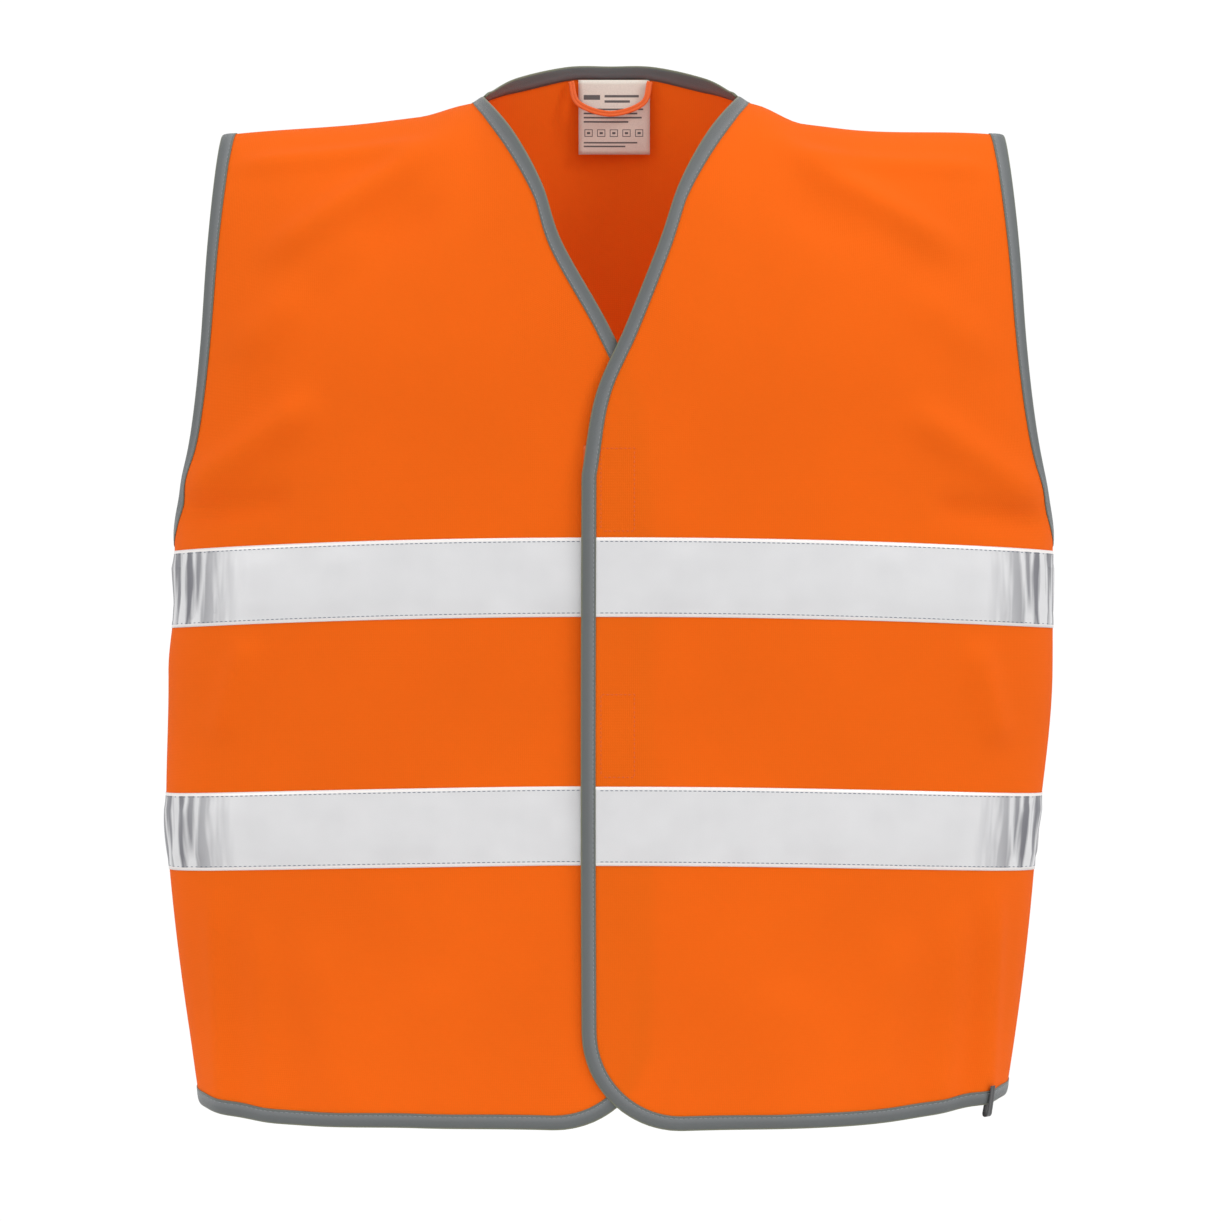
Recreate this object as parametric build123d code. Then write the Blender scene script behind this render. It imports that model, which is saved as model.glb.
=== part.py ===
from build123d import *
import math
import os

# High visibility vest, closed at the front, as it sits on a wearer.
# Millimetres. +X is the wearer's left, -Y the front, +Z up. The origin is midway between the
# two points where the shoulder seams meet the neck edge, which is where the vest is carried.
# Every layer of cloth follows one body surface at its own offset d, outward positive.

os.makedirs("parts", exist_ok=True)

# ---- body surface -------------------------------------------------------------------------
CHEST_HALF_WIDTH = 288.0
HEM_HALF_WIDTH = 260.0
BODY_HALF_DEPTH = 105.0
HEM_HALF_DEPTH = 95.0
TAPER_TOP = -350.0           # below this height the vest narrows towards the hem
SHOULDER_START = -220.0      # above this height front and back close in to the shoulder seam
HEM_LEVEL = -658.0
SIDE_POWER = 2.5             # roundness of the girth, seen from above
SHOULDER_POWER = 2.2         # roundness of the shoulders, seen from the side
NECK_HALF = 94.0
SHOULDER_SLOPE = math.radians(7)
NECK_RISE = 110.0            # how far the surface would rise between the neck points

# ---- cloth layers, each as its inner and outer offset ---------------------------------------
PANEL = (0.0, 0.9)
TAPE = (0.95, 1.35)
BINDING = (1.4, 1.9)         # only the outer fold of each edge binding is made as a solid
HOOK_PATCH = (-1.0, -0.05)
LOOP_PATCH = (0.95, 1.85)
TAG = (1.95, 2.55)
UNDER_SINK = 3.8             # how far the under flap lies beneath the over flap

# ---- outlines, seen from the front ------------------------------------------------------------
OVER_EDGE = -18.5            # front edge of the wearer's left front, which lies on top
UNDER_EDGE = -26.0           # front edge of the other front, in its own mirrored outline
BINDING_WIDTH = 9.0
BINDING_FOLD = 0.5           # the fold stands this far beyond the cloth's cut edge
CORNER_RADIUS = 62.0
TAPE_WIDTH = 50.0
UPPER_TAPE_TOP = -287.0
LOWER_TAPE_TOP = -441.0
TAPE_DROP = 8.0              # the tapes sit this much lower at the sides
HEM_SIDE_X = 262.0           # the hem meets the side seam here
HEM_SIDE_Z = -643.0
HEM_SLOPE = 0.28             # rise of the hem where it meets the side seam
UNDERARM = -280.0
SHOULDER_TIP = (256, -12)
SIDE_REACH = 320             # outlines run out to here, beyond the side seam

# ---- fold line of each front ---------------------------------------------------------------------
FOLD_TOP_X = 47.0
FOLD_HEM_X = 160.0
CUT_GAP = 1.0

TAPES = {"upper": UPPER_TAPE_TOP, "lower": LOWER_TAPE_TOP}

PATCH_WIDTH = 25.0
PATCH_HEIGHT = 56.0
PATCH_X = 4.5
UPPER_PATCH_TOP = -226.0
LOWER_PATCH_TOP = -381.0
PATCHES = {"upper": UPPER_PATCH_TOP, "lower": LOWER_PATCH_TOP}

LABEL_WIDTH = 48.0
LABEL_HEIGHT = 50.0
LABEL_X = 2.5
LABEL_LEAN = 12.0            # degrees, the label lies back along the cloth
LABEL_TOP = (68.8, 26.0)     # depth and height of its seam
LOOP_TAPE = 4.0
LOOP_THICKNESS = 1.2
LOOP_DEPTH = 65.6
TAG_X = 241.0
TAG_WIDTH = 6.0
TAG_HEIGHT = 22.0

GRID_ACROSS = 37
GRID_UP = 33
START = -0.2                 # each half sheet starts this far across, and ends past the side seam
PAST_SEAM = 1.03
SEAM_GAP = 0.1               # front and back cloth each stop this short of the seam plane
PRISM = 200.0


def smooth(t):
    """0 below 0, 1 above 1, and an easy curve between."""
    t = min(max(t, 0.0), 1.0)
    return t * t * (3 - 2 * t)


def half_width(z):
    drop = max(TAPER_TOP - z, 0.0) / (TAPER_TOP - HEM_LEVEL)
    return CHEST_HALF_WIDTH - (CHEST_HALF_WIDTH - HEM_HALF_WIDTH) * drop ** 2


def half_depth(z):
    drop = smooth((SHOULDER_START - z) / (SHOULDER_START - HEM_LEVEL))
    return BODY_HALF_DEPTH - (BODY_HALF_DEPTH - HEM_HALF_DEPTH) * drop


def ridge(x):
    """Height of the shoulder seam, rising over the neck opening."""
    if abs(x) > NECK_HALF:
        return -(abs(x) - NECK_HALF) * math.tan(SHOULDER_SLOPE)
    return NECK_RISE * (1 - (x / NECK_HALF) ** 2) ** 2


def oval(angle, power):
    """Point on a unit superellipse."""
    s, c = math.sin(angle), math.cos(angle)
    r = (abs(s) ** power + abs(c) ** power) ** (-1 / power)
    return r * s, r * c


def body_point(across, up, sink):
    """Point of the front surface: side seams at across -1 and 1, shoulder seam at up 2."""
    bottom = HEM_LEVEL - 12
    limit = math.radians(90 - 15 * smooth((up - 0.95) / 0.3))
    side, depth = oval(across * limit, SIDE_POWER)
    z = bottom + (SHOULDER_START - bottom) * min(up, 1.0)
    x = half_width(z) * side
    closing = 1.0
    if up > 1:
        rise, closing = oval((up - 1) * math.pi / 2, SHOULDER_POWER)
        z = SHOULDER_START + (ridge(x) - SHOULDER_START) * rise
    inward = sink * (1 - smooth((x - 35) / 80)) * closing
    return Vector(x, -(half_depth(z) * depth * closing - inward), z)


def layer_point(across, up, offset, sink):
    step = 1e-3
    here = body_point(across, up, sink)
    across_way = body_point(across + step, up, sink) - body_point(across - step, up, sink)
    up_way = body_point(across, up + step, sink) - body_point(across, max(up - step, 0), sink)
    return here + across_way.cross(up_way).normalized() * offset


def layer_face(offset, sink):
    """The wearer's left half of the front surface at one offset, run on a little past its edges."""
    columns = [START + (PAST_SEAM - START) * i / (GRID_ACROSS - 1) for i in range(GRID_ACROSS)]
    levels = [(1 + PAST_SEAM) * j / (GRID_UP - 1) for j in range(GRID_UP)]
    rows = [[layer_point(across, up, offset, sink) for across in columns] for up in levels]
    return Face.make_surface_from_array_of_points(rows, tol=0.02)


def layer(span, sink=0.0):
    """Solid sheet between two offsets of the front surface."""
    inner, outer = (layer_face(offset, sink) for offset in span)
    walls = [Face.make_surface_from_curves(a, b) for a, b in zip(inner.edges(), outer.edges())]
    return Solid(Shell(Face.sew_faces([inner, outer, *walls])[0]))


# ---- outlines -------------------------------------------------------------------------------------
def shifted(edge, inset, count=9):
    """The same stretch of outline moved to its left-hand side, the inside of the cloth."""
    points = []
    for i in range(count):
        along = edge % (i / (count - 1))
        side = Vector(-along.Y, along.X, 0)
        points.append(edge @ (i / (count - 1)) + side * inset)
    return Spline(*points)


def hem_end():
    """The hem runs on past the side seam at its own slope."""
    rise = (SIDE_REACH - HEM_SIDE_X) * HEM_SLOPE
    return Line((HEM_SIDE_X, HEM_SIDE_Z), (SIDE_REACH, HEM_SIDE_Z + rise))


def front_edge(edge_x):
    """Neck, front edge, rounded corner and hem of one front, as four runs in order."""
    neck_start = Line((96, 21), (84, 5))
    neck = Spline(
        (84, 5), (60, -28), (42, -60), (30, -97), (edge_x + 27, -150), (edge_x + 7, -194), (edge_x, -245),
        tangents=[(-0.6, -0.8), (0, -1)],
    )
    corner_top = HEM_LEVEL + CORNER_RADIUS
    corner_x = edge_x + CORNER_RADIUS
    straight = Line((edge_x, -245), (edge_x, corner_top))
    corner = RadiusArc((edge_x, corner_top), (corner_x, HEM_LEVEL), -CORNER_RADIUS)
    hem = Spline(
        (corner_x, HEM_LEVEL), (170, HEM_LEVEL + 3), (HEM_SIDE_X, HEM_SIDE_Z),
        tangents=[(1, 0), (1, HEM_SLOPE)],
    )
    return [neck_start, neck], [straight, corner], [hem, hem_end()]


def back_neck_edge():
    """Right half of the back's neck edge, from outside the neck point to the middle."""
    return [Spline((110, 4), (86, 6), (50, 23), (0, 34), tangents=[(-1, 0), (-1, 0)])]


def back_hem_edge():
    """Right half of the back's hem, from the middle to beyond the side seam."""
    hem = Spline(
        (0, HEM_LEVEL), (140, HEM_LEVEL + 2), (HEM_SIDE_X, HEM_SIDE_Z),
        tangents=[(1, 0), (1, HEM_SLOPE)],
    )
    return [hem, hem_end()]


def armhole(*points):
    """One half of an armhole, level where it crosses the side seam, up to the shoulder seam."""
    start = (SIDE_REACH, UNDERARM)
    curve_start = (CHEST_HALF_WIDTH + 5, UNDERARM)
    curve = Spline(curve_start, *points, SHOULDER_TIP, tangents=[(-1, 0), (-0.05, 1)])
    return [Line(start, curve_start), curve]


def front_armhole():
    return armhole((285, -265), (274, -215), (267, -160), (262, -95))


def back_armhole():
    return armhole((276, -262), (252, -225), (244, -180), (246, -110))


def closed(edges, *corners):
    """Face bounded by a run of edges, closed by straight lines through the corners."""
    stops = [edges[-1] @ 1, *(Vector(*corner) for corner in corners), edges[0] @ 0]
    lines = [Line(a, b) for a, b in zip(stops, stops[1:])]
    return make_face([*edges, *lines])


def ribbon(edges):
    """Face of the edge binding that follows a run of edges."""
    outer = [shifted(edge, -BINDING_FOLD) for edge in edges]
    inner = [shifted(edge, BINDING_WIDTH) for edge in edges]
    ends = [Line(outer[0] @ 0, inner[0] @ 0), Line(outer[-1] @ 1, inner[-1] @ 1)]
    return make_face([*outer, *inner, *ends])


def fold_x(z):
    return FOLD_TOP_X + (FOLD_HEM_X - FOLD_TOP_X) * z / HEM_LEVEL


def fold_areas():
    """The flap's side of the fold line and the fixed side, with a small gap between them."""
    low, high = HEM_LEVEL - 30, 60
    left, right = -90, SIDE_REACH
    inner = [(fold_x(z) - CUT_GAP / 2, z) for z in (low, high)]
    outer = [(fold_x(z) + CUT_GAP / 2, z) for z in (low, high)]
    flap = Polygon((left, low), *inner, (left, high), align=None)
    fixed = Polygon((right, high), *outer[::-1], (right, low), align=None)
    return flap, fixed


def band(top):
    """Face of one reflective tape, level at the middle and dropping towards the sides."""
    reach = 300
    upper = ThreePointArc((-reach, top - TAPE_DROP), (0, top), (reach, top - TAPE_DROP))
    low = top - TAPE_WIDTH
    lower = ThreePointArc((reach, low - TAPE_DROP), (0, low), (-reach, low - TAPE_DROP))
    return closed([upper, Line(upper @ 1, lower @ 0), lower])


def patch(top):
    left, right = PATCH_X - PATCH_WIDTH / 2, PATCH_X + PATCH_WIDTH / 2
    bottom = top - PATCH_HEIGHT
    return Polygon((left, bottom), (right, bottom), (right, top), (left, top), align=None)


def prism(face):
    """Everything in front of the seam plane within an outline."""
    return extrude(Plane.XZ.offset(SEAM_GAP) * face, amount=PRISM)


def both_halves(part):
    return part + mirror(part, Plane.YZ)


# ---- sub-parts, drawn for the wearer's left and facing the front ------------------------------------
def cut_layer(sheet, face):
    return Part() + [sheet & solid for solid in prism(face).solids()]


def make_front(edge_x, sheets, patch_name, patch_span):
    """One front as named parts: a flap that opens and the side that stays on the wearer."""
    neck, opening, hem = front_edge(edge_x)
    side = Line(hem[-1] @ 1, (SIDE_REACH, UNDERARM))
    cloth = closed([*neck, *opening, *hem, side, *front_armhole()], (256, 60), (96, 60))
    flap_area, fixed_area = fold_areas()
    parts = {}
    for part, area in (("flap", flap_area), ("side", fixed_area)):
        parts[f"front_{part}_panel"] = cut_layer(sheets[PANEL], cloth & area)
        for tape, top in TAPES.items():
            parts[f"front_{part}_{tape}_tape"] = cut_layer(sheets[TAPE], cloth & area & band(top))
    free_edge = ribbon([*neck, *opening, *hem])
    parts["front_flap_edge_binding"] = cut_layer(sheets[BINDING], free_edge & flap_area)
    parts["front_neck_binding"] = cut_layer(sheets[BINDING], ribbon(neck) & fixed_area)
    parts["front_hem_binding"] = cut_layer(sheets[BINDING], ribbon(hem) & fixed_area)
    parts["front_armhole_binding"] = cut_layer(sheets[BINDING], ribbon(front_armhole()))
    for place, top in PATCHES.items():
        parts[f"{place}_{patch_name}_patch"] = cut_layer(sheets[patch_span], patch(top))
    return parts


def make_back(sheets):
    """The back, drawn facing the front and turned round at the end."""
    neck, hem = back_neck_edge(), back_hem_edge()
    side = Line(hem[-1] @ 1, (SIDE_REACH, UNDERARM))
    shoulder = [Line(SHOULDER_TIP, (256, 60)), Line((256, 60), (110, 60)), Line((110, 60), neck[0] @ 0)]
    cloth = closed([*hem, side, *back_armhole(), *shoulder, *neck])
    half = Pos(SIDE_REACH / 2, -300) * Rectangle(SIDE_REACH, 800)
    halves = {"back_panel": cut_layer(sheets[PANEL], cloth)}
    for tape, top in TAPES.items():
        halves[f"back_{tape}_tape"] = cut_layer(sheets[TAPE], cloth & band(top) & half)
    halves["back_neck_binding"] = cut_layer(sheets[BINDING], ribbon(neck) & half)
    halves["back_hem_binding"] = cut_layer(sheets[BINDING], ribbon(hem) & half)
    parts = {name: both_halves(part) for name, part in halves.items()}
    armhole_binding = cut_layer(sheets[BINDING], ribbon(back_armhole()))
    parts["left_back_armhole_binding"] = armhole_binding
    parts["right_back_armhole_binding"] = mirror(armhole_binding, Plane.YZ)
    return {name: mirror(part, Plane.XZ) for name, part in parts.items()}


def make_hanger_loop():
    """Loop of folded cloth tape that hangs inside the back of the neck."""
    middle = Spline((-28, 25), (-22, 10), (0, 3), (22, 10), (28, 25), tangents=[(0, -1), (0, 1)])
    outer, inner = shifted(middle, -LOOP_TAPE / 2), shifted(middle, LOOP_TAPE / 2)
    ends = [Line(outer @ 0, inner @ 0), Line(outer @ 1, inner @ 1)]
    face = make_face([outer, inner, *ends])
    return Pos(0, LOOP_DEPTH + LOOP_THICKNESS, 0) * extrude(Plane.XZ * face, amount=LOOP_THICKNESS)


def make_label():
    """Cloth label sewn in below the back of the neck, lying back along the cloth."""
    depth, height = LABEL_TOP
    sheet = Pos(0, 0, -LABEL_HEIGHT / 2) * Box(LABEL_WIDTH, 0.4, LABEL_HEIGHT)
    return Pos(LABEL_X, depth, height) * Rot(X=LABEL_LEAN) * sheet


def make_hem_tag(sheets):
    """Short black tape folded over the hem and sewn through."""
    bottom = -655.0
    outline = Polygon(
        (TAG_X, bottom), (TAG_X + TAG_WIDTH, bottom), (TAG_X + TAG_WIDTH, bottom + TAG_HEIGHT),
        (TAG_X, bottom + TAG_HEIGHT), align=None,
    )
    return cut_layer(sheets[TAG], outline)


def main():
    sheets = {span: layer(span) for span in (PANEL, TAPE, BINDING, HOOK_PATCH, TAG)}
    sunk = {span: layer(span, UNDER_SINK) for span in (PANEL, TAPE, BINDING, LOOP_PATCH)}
    over = make_front(OVER_EDGE, sheets, "hook", HOOK_PATCH)
    under = make_front(UNDER_EDGE, sunk, "loop", LOOP_PATCH)
    parts = {f"left_{name}" if "patch" not in name else name: part for name, part in over.items()}
    for name, part in under.items():
        full_name = f"right_{name}" if "patch" not in name else name
        parts[full_name] = mirror(part, Plane.YZ)
    parts.update(make_back(sheets))
    parts["hanger_loop"] = make_hanger_loop()
    parts["size_label"] = make_label()
    parts["hem_tag"] = make_hem_tag(sheets)
    for name, part in parts.items():
        export_step(part, f"parts/{name}.step")


main()
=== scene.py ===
import math

import bpy
import numpy as np
from mathutils.geometry import delaunay_2d_cdt
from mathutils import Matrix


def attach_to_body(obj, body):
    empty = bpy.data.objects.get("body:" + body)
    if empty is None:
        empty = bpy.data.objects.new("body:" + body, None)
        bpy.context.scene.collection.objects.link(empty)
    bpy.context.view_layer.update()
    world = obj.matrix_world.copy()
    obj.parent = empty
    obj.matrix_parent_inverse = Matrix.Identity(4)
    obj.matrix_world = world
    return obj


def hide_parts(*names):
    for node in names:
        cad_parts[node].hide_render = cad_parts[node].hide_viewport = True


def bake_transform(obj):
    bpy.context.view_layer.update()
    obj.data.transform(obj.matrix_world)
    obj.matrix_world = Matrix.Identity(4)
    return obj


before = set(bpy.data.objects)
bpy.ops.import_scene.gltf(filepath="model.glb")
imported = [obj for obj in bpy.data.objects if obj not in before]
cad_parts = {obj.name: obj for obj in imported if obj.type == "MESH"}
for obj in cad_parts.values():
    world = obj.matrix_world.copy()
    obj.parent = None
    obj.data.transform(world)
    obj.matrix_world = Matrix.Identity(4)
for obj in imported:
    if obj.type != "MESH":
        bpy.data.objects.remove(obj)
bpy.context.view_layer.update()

# High visibility vest, in metres, in the CAD's frame: +X the wearer's left, -Y the front, +Z up,
# origin between the neck points. Every layer of cloth is placed by where it lies seen from the
# front (x, z) and how far it stands off the body surface.

MM = 0.001

# ---- body surface ------------------------------------------------------------------------
CHEST_HALF_WIDTH = 0.288
HEM_HALF_WIDTH = 0.260
BODY_HALF_DEPTH = 0.105
HEM_HALF_DEPTH = 0.095
TAPER_TOP = -0.350           # the body narrows below this
SHOULDER_START = -0.220      # and closes over the shoulders above this
HEM_LEVEL = -0.658
SIDE_POWER = 2.5
SHOULDER_POWER = 2.2
NECK_HALF = 0.094
SHOULDER_SLOPE = math.radians(7)
NECK_RISE = 0.110
UNDER_SINK = 0.0038          # how far the right front lies beneath the left one

# ---- outlines ----------------------------------------------------------------------------
OVER_EDGE = -0.0175          # x of the left front's edge
UNDER_EDGE = -0.026          # the right front's, before it is mirrored
CORNER_RADIUS = 0.062
NECK_POINT = (0.0845, 0.0045)
SHOULDER_TIP_X = 0.256
OPENING_TOP = -0.245
HEM_SIDE_Z = -0.643
UNDERARM = -0.280
TAPE_WIDTH = 0.050
TAPE_DROP = 0.008
TAPE_TOPS = (-0.284, -0.441)
PATCH_X = 0.0045
PATCH_SIZE = (0.025, 0.056)
PATCH_TOPS = (-0.226, -0.381)

# ---- layers, as heights over the body surface --------------------------------------------
CLOTH = (0.0002, 0.0007)
TAPE = (0.00075, 0.00115)
BINDING_TOP = 0.00125        # where the binding's stitches lie
OVER_TAPE_RISE = 0.00045     # the binding stands this much higher where it crosses a tape
MESH_STEP = 0.005

# ---- sewing ------------------------------------------------------------------------------
BINDING_SEAM = 0.0070        # from the edge to the binding's row of stitches
TAPE_SEAMS = (0.0025, 0.0475)  # from the tape's top edge to its rows of stitches
BINDING_STEP = 0.003         # between the points along a binding

# ---- neck loop, label and hem tag --------------------------------------------------------
LOOP_Y = 0.0662
LABEL_TOP = (0.0688, 0.026)
LABEL_LEFT = -0.0215
LABEL_WIDTH = 0.048
LABEL_LENGTH = 0.050
LABEL_LEAN = math.radians(12)
LABEL_BELLY = 0.0012
LABEL_HALF_THICKNESS = 0.00018
INK_LIFT = 0.00021
HEM_TAG_X = 0.244

# ---- camera ------------------------------------------------------------------------------
CAMERA_DISTANCE = 2.6
VIEW_HALF_WIDTH = 0.384
VIEW_HEIGHT = -0.330

# ---- colours -----------------------------------------------------------------------------
KNIT_COLOUR = (0.91, 0.160, 0.006)
THREAD_COLOUR = (0.72, 0.10, 0.006)


def smooth(t):
    """Eases from 0 to 1 as t goes from 0 to 1."""
    t = np.clip(t, 0.0, 1.0)
    return t * t * (3 - 2 * t)


def half_width(z):
    """Half the body's width: straight down the chest, narrowing to the hem."""
    drop = np.maximum(TAPER_TOP - z, 0.0) / (TAPER_TOP - HEM_LEVEL)
    return CHEST_HALF_WIDTH - (CHEST_HALF_WIDTH - HEM_HALF_WIDTH) * drop ** 2


def half_depth(z):
    """Half the body's depth from front to back below the shoulders."""
    drop = smooth((SHOULDER_START - z) / (SHOULDER_START - HEM_LEVEL))
    return BODY_HALF_DEPTH - (BODY_HALF_DEPTH - HEM_HALF_DEPTH) * drop


def ridge(x):
    """Height of the shoulder seam."""
    slope = -(np.abs(x) - NECK_HALF) * math.tan(SHOULDER_SLOPE)
    rise = NECK_RISE * (1 - np.minimum(np.abs(x) / NECK_HALF, 1.0) ** 2) ** 2
    return np.where(np.abs(x) > NECK_HALF, slope, rise)


def oval(angle, power):
    """Point on a unit superellipse."""
    s, c = np.sin(angle), np.cos(angle)
    r = (np.abs(s) ** power + np.abs(c) ** power) ** (-1 / power)
    return r * s, r * c


def to_angles(x, z):
    """Angle round the body and angle over the shoulder of a place seen from the front."""
    almost_at_side = 0.99999
    side = np.clip(x / half_width(z), -1, 1)
    side = np.where(np.abs(side) > almost_at_side, np.sign(side), side)
    depth = (1 - np.abs(side) ** SIDE_POWER) ** (1 / SIDE_POWER)
    rise = np.clip((z - SHOULDER_START) / (ridge(x) - SHOULDER_START), 0, 1)
    closing = (1 - rise ** SHOULDER_POWER) ** (1 / SHOULDER_POWER)
    return np.arctan2(side, depth), np.where(z > SHOULDER_START, np.arctan2(rise, closing), 0.0)


def from_angles(around, over, z):
    """Surface point; z counts only below the shoulder."""
    side, depth = oval(around, SIDE_POWER)
    rise, closing = oval(over, SHOULDER_POWER)
    x = np.where(over > 0, CHEST_HALF_WIDTH, half_width(z)) * side
    height = np.where(over > 0, SHOULDER_START + (ridge(x) - SHOULDER_START) * rise, z)
    return np.stack([x, -half_depth(height) * depth * np.where(over > 0, closing, 1.0), height], axis=-1)


def surface(x, z):
    """Points of the front body surface and its outward normals."""
    around, over = to_angles(x, z)
    step = 1e-4
    here = from_angles(around, over, z)
    across_way = from_angles(around + step, over, z) - from_angles(around - step, over, z)
    high = from_angles(around, np.where(over > 0, over + step, 0.0), z + step)
    low = from_angles(around, np.where(over > 0, np.maximum(over - step, 1e-6), 0.0), z - step)
    normal = np.cross(across_way, high - low)
    return here, normal / np.linalg.norm(normal, axis=-1, keepdims=True)


# ---- how the cloth hangs -----------------------------------------------------------------
def crease(x, z, start, end, width, height):
    """Soft ridge along a line, fading out at both ends."""
    start, end = np.array(start), np.array(end)
    run = end - start
    length = np.hypot(*run)
    along = ((x - start[0]) * run[0] + (z - start[1]) * run[1]) / length ** 2
    off = ((x - start[0]) * run[1] - (z - start[1]) * run[0]) / length
    fade = smooth(along / 0.3 + 0.3) * smooth((1 - along) / 0.3 + 0.3)
    return height * np.exp(-(off / width) ** 2) * fade


# Start, end, width and height of each crease.
CREASES = (
    ((0.245, -0.040), (0.120, -0.024), 0.007, 0.0034),
    ((0.222, -0.100), (0.108, -0.020), 0.011, 0.0060),
    ((0.205, -0.135), (0.110, -0.060), 0.016, -0.0036),
    ((0.245, -0.165), (0.150, -0.085), 0.014, 0.0030),
    ((0.276, -0.258), (0.190, -0.200), 0.012, 0.0040),
    ((0.280, -0.272), (0.205, -0.262), 0.009, -0.0026),
    ((0.250, -0.410), (0.232, -0.345), 0.010, 0.0026),
    ((0.242, -0.655), (0.250, -0.500), 0.008, 0.0036),
    ((0.212, -0.655), (0.224, -0.520), 0.011, 0.0034),
    ((0.170, -0.655), (0.186, -0.540), 0.016, 0.0026),
    ((0.100, -0.655), (0.112, -0.560), 0.022, 0.0022),
)


def drape(x, z, seed):
    """Small departures of the hanging cloth from the body surface."""
    total = np.zeros_like(x)
    for start, end, width, height in CREASES:
        shift = 0.006 * math.sin(7.3 * seed + 40 * start[0])
        tall = 1.5 * height * (1 + 0.3 * math.sin(seed * 5 + 9 * end[1]))
        total = total + crease(np.abs(x), z - shift, start, end, width, tall)
    for k, (across, up, height) in enumerate(((9, 4, 14), (17, 7, 9), (31, 13, 5), (23, 37, 3))):
        wave = np.sin(across * x + 1.7 * k + 2.1 * seed) * np.sin(up * z + 0.9 * k + 1.3 * seed)
        total = total + height * 1e-4 * wave
    hem_flare = smooth((-0.56 - z) / 0.1) * np.sin(x * 46 + seed) * 0.0012
    return total + hem_flare


def settle(point):
    """The whole vest leans and sags a little as it hangs: changes points in place."""
    x, z = point[..., 0], point[..., 2]
    far_out = np.minimum((x / 0.26) ** 2, 1.2)
    lean = -0.0048 * smooth((-0.37 - z) / 0.12)
    pull = np.where(x < 0, 0.0035 * smooth((z + 0.37) / 0.05), 0.0)
    between = smooth((np.abs(x) - 0.092) / 0.034) * (1 - smooth((np.abs(x) - 0.15) / 0.11))
    sag = np.where(x > 0, 0.0090, 0.0045) * between * smooth((z + 0.10) / 0.09)
    droop = np.where(x < 0, 0.0065, 0.0) * smooth((-0.60 - z) / 0.05) * smooth((np.abs(x) - 0.12) / 0.12)
    point[..., 0] += (lean + pull) * far_out
    point[..., 2] -= sag + droop
    return point


class Side:
    """A piece of the vest that is drawn as the wearer's left front and turned into place."""

    def __init__(self, name, mirror, back, sink, seed):
        self.name = name
        self.mirror = mirror
        self.back = back
        self.sink = sink
        self.seed = seed

    def place(self, x, z, height):
        """Points at a height over the body surface, where the hanging cloth has them."""
        x, z, height = np.broadcast_arrays(*(np.asarray(value, float) for value in (x, z, height)))
        point, normal = surface(x, z)
        seam = smooth((half_width(z) - np.abs(x)) / 0.012) * smooth((ridge(x) - z) / 0.02)
        lift = height + drape(x, z, self.seed) * seam
        point = point + normal * lift[..., None]
        point[..., 1] += self.sink * (1 - smooth((x - 0.035) / 0.08))
        if self.mirror:
            point[..., 0] *= -1
        if self.back:
            point[..., 1] *= -1
        return settle(point)

    def flips(self):
        """Whether turning the piece into place turns its faces inside out."""
        return self.mirror != self.back


LEFT = Side("left_front", False, False, 0.0, 1)
RIGHT = Side("right_front", True, False, UNDER_SINK, 2)
BACK = Side("back", False, True, 0.0, 3)


# ---- outlines, as points seen from the front ---------------------------------------------
def curve(points, per_span=10):
    """Smooth run of points through the given ones."""
    p = np.array(points, float)
    ends = np.vstack([2 * p[0] - p[1], p, 2 * p[-1] - p[-2]])
    run = []
    for a, b, c, d in zip(ends, ends[1:], ends[2:], ends[3:]):
        t = np.linspace(0, 1, per_span, endpoint=False)[:, None]
        square = (2 * a - 5 * b + 4 * c - d) * t ** 2
        cube = (3 * b - a - 3 * c + d) * t ** 3
        run.append(0.5 * (2 * b + (c - a) * t + square + cube))
    return np.vstack([*run, p[-1:]])


def evenly(path, step):
    """The same line with points a step apart."""
    lengths = np.hypot(*np.diff(path, axis=0).T)
    travelled = np.concatenate([[0], np.cumsum(lengths)])
    count = max(int(round(travelled[-1] / step)), 1) + 1
    stops = np.linspace(0, travelled[-1], count)
    return np.stack([np.interp(stops, travelled, path[:, i]) for i in (0, 1)], axis=1)


def at_side(z):
    """Where the side seam is at a height."""
    return float(half_width(np.array(z)))


def neck_line(edge_x):
    """From the neck point down the V to the front edge."""
    points = [NECK_POINT, (0.062, -0.026), (0.044, -0.060), (0.0315, -0.097)]
    points += [(edge_x + 0.028, -0.150), (edge_x + 0.009, -0.194), (edge_x, OPENING_TOP)]
    return curve(points)


def opening_line(edge_x):
    """Front edge and rounded bottom corner."""
    top = HEM_LEVEL + CORNER_RADIUS
    angles = np.radians(np.linspace(180, 270, 16))
    corner = np.stack([
        edge_x + CORNER_RADIUS + CORNER_RADIUS * np.cos(angles), top + CORNER_RADIUS * np.sin(angles),
    ], axis=1)
    return np.vstack([[(edge_x, OPENING_TOP)], corner])


def hem_line(start_x):
    """Along the hem out to the side seam, rising a little."""
    points = [(start_x, HEM_LEVEL), (0.170, HEM_LEVEL + 0.003), (at_side(HEM_SIDE_Z), HEM_SIDE_Z)]
    return curve(points)


def armhole_line(points):
    """From the underarm through the points to the shoulder tip."""
    start = (at_side(UNDERARM), UNDERARM)
    end = (SHOULDER_TIP_X, float(ridge(np.array(SHOULDER_TIP_X))))
    return curve([start, *points, end], 16)


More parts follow.
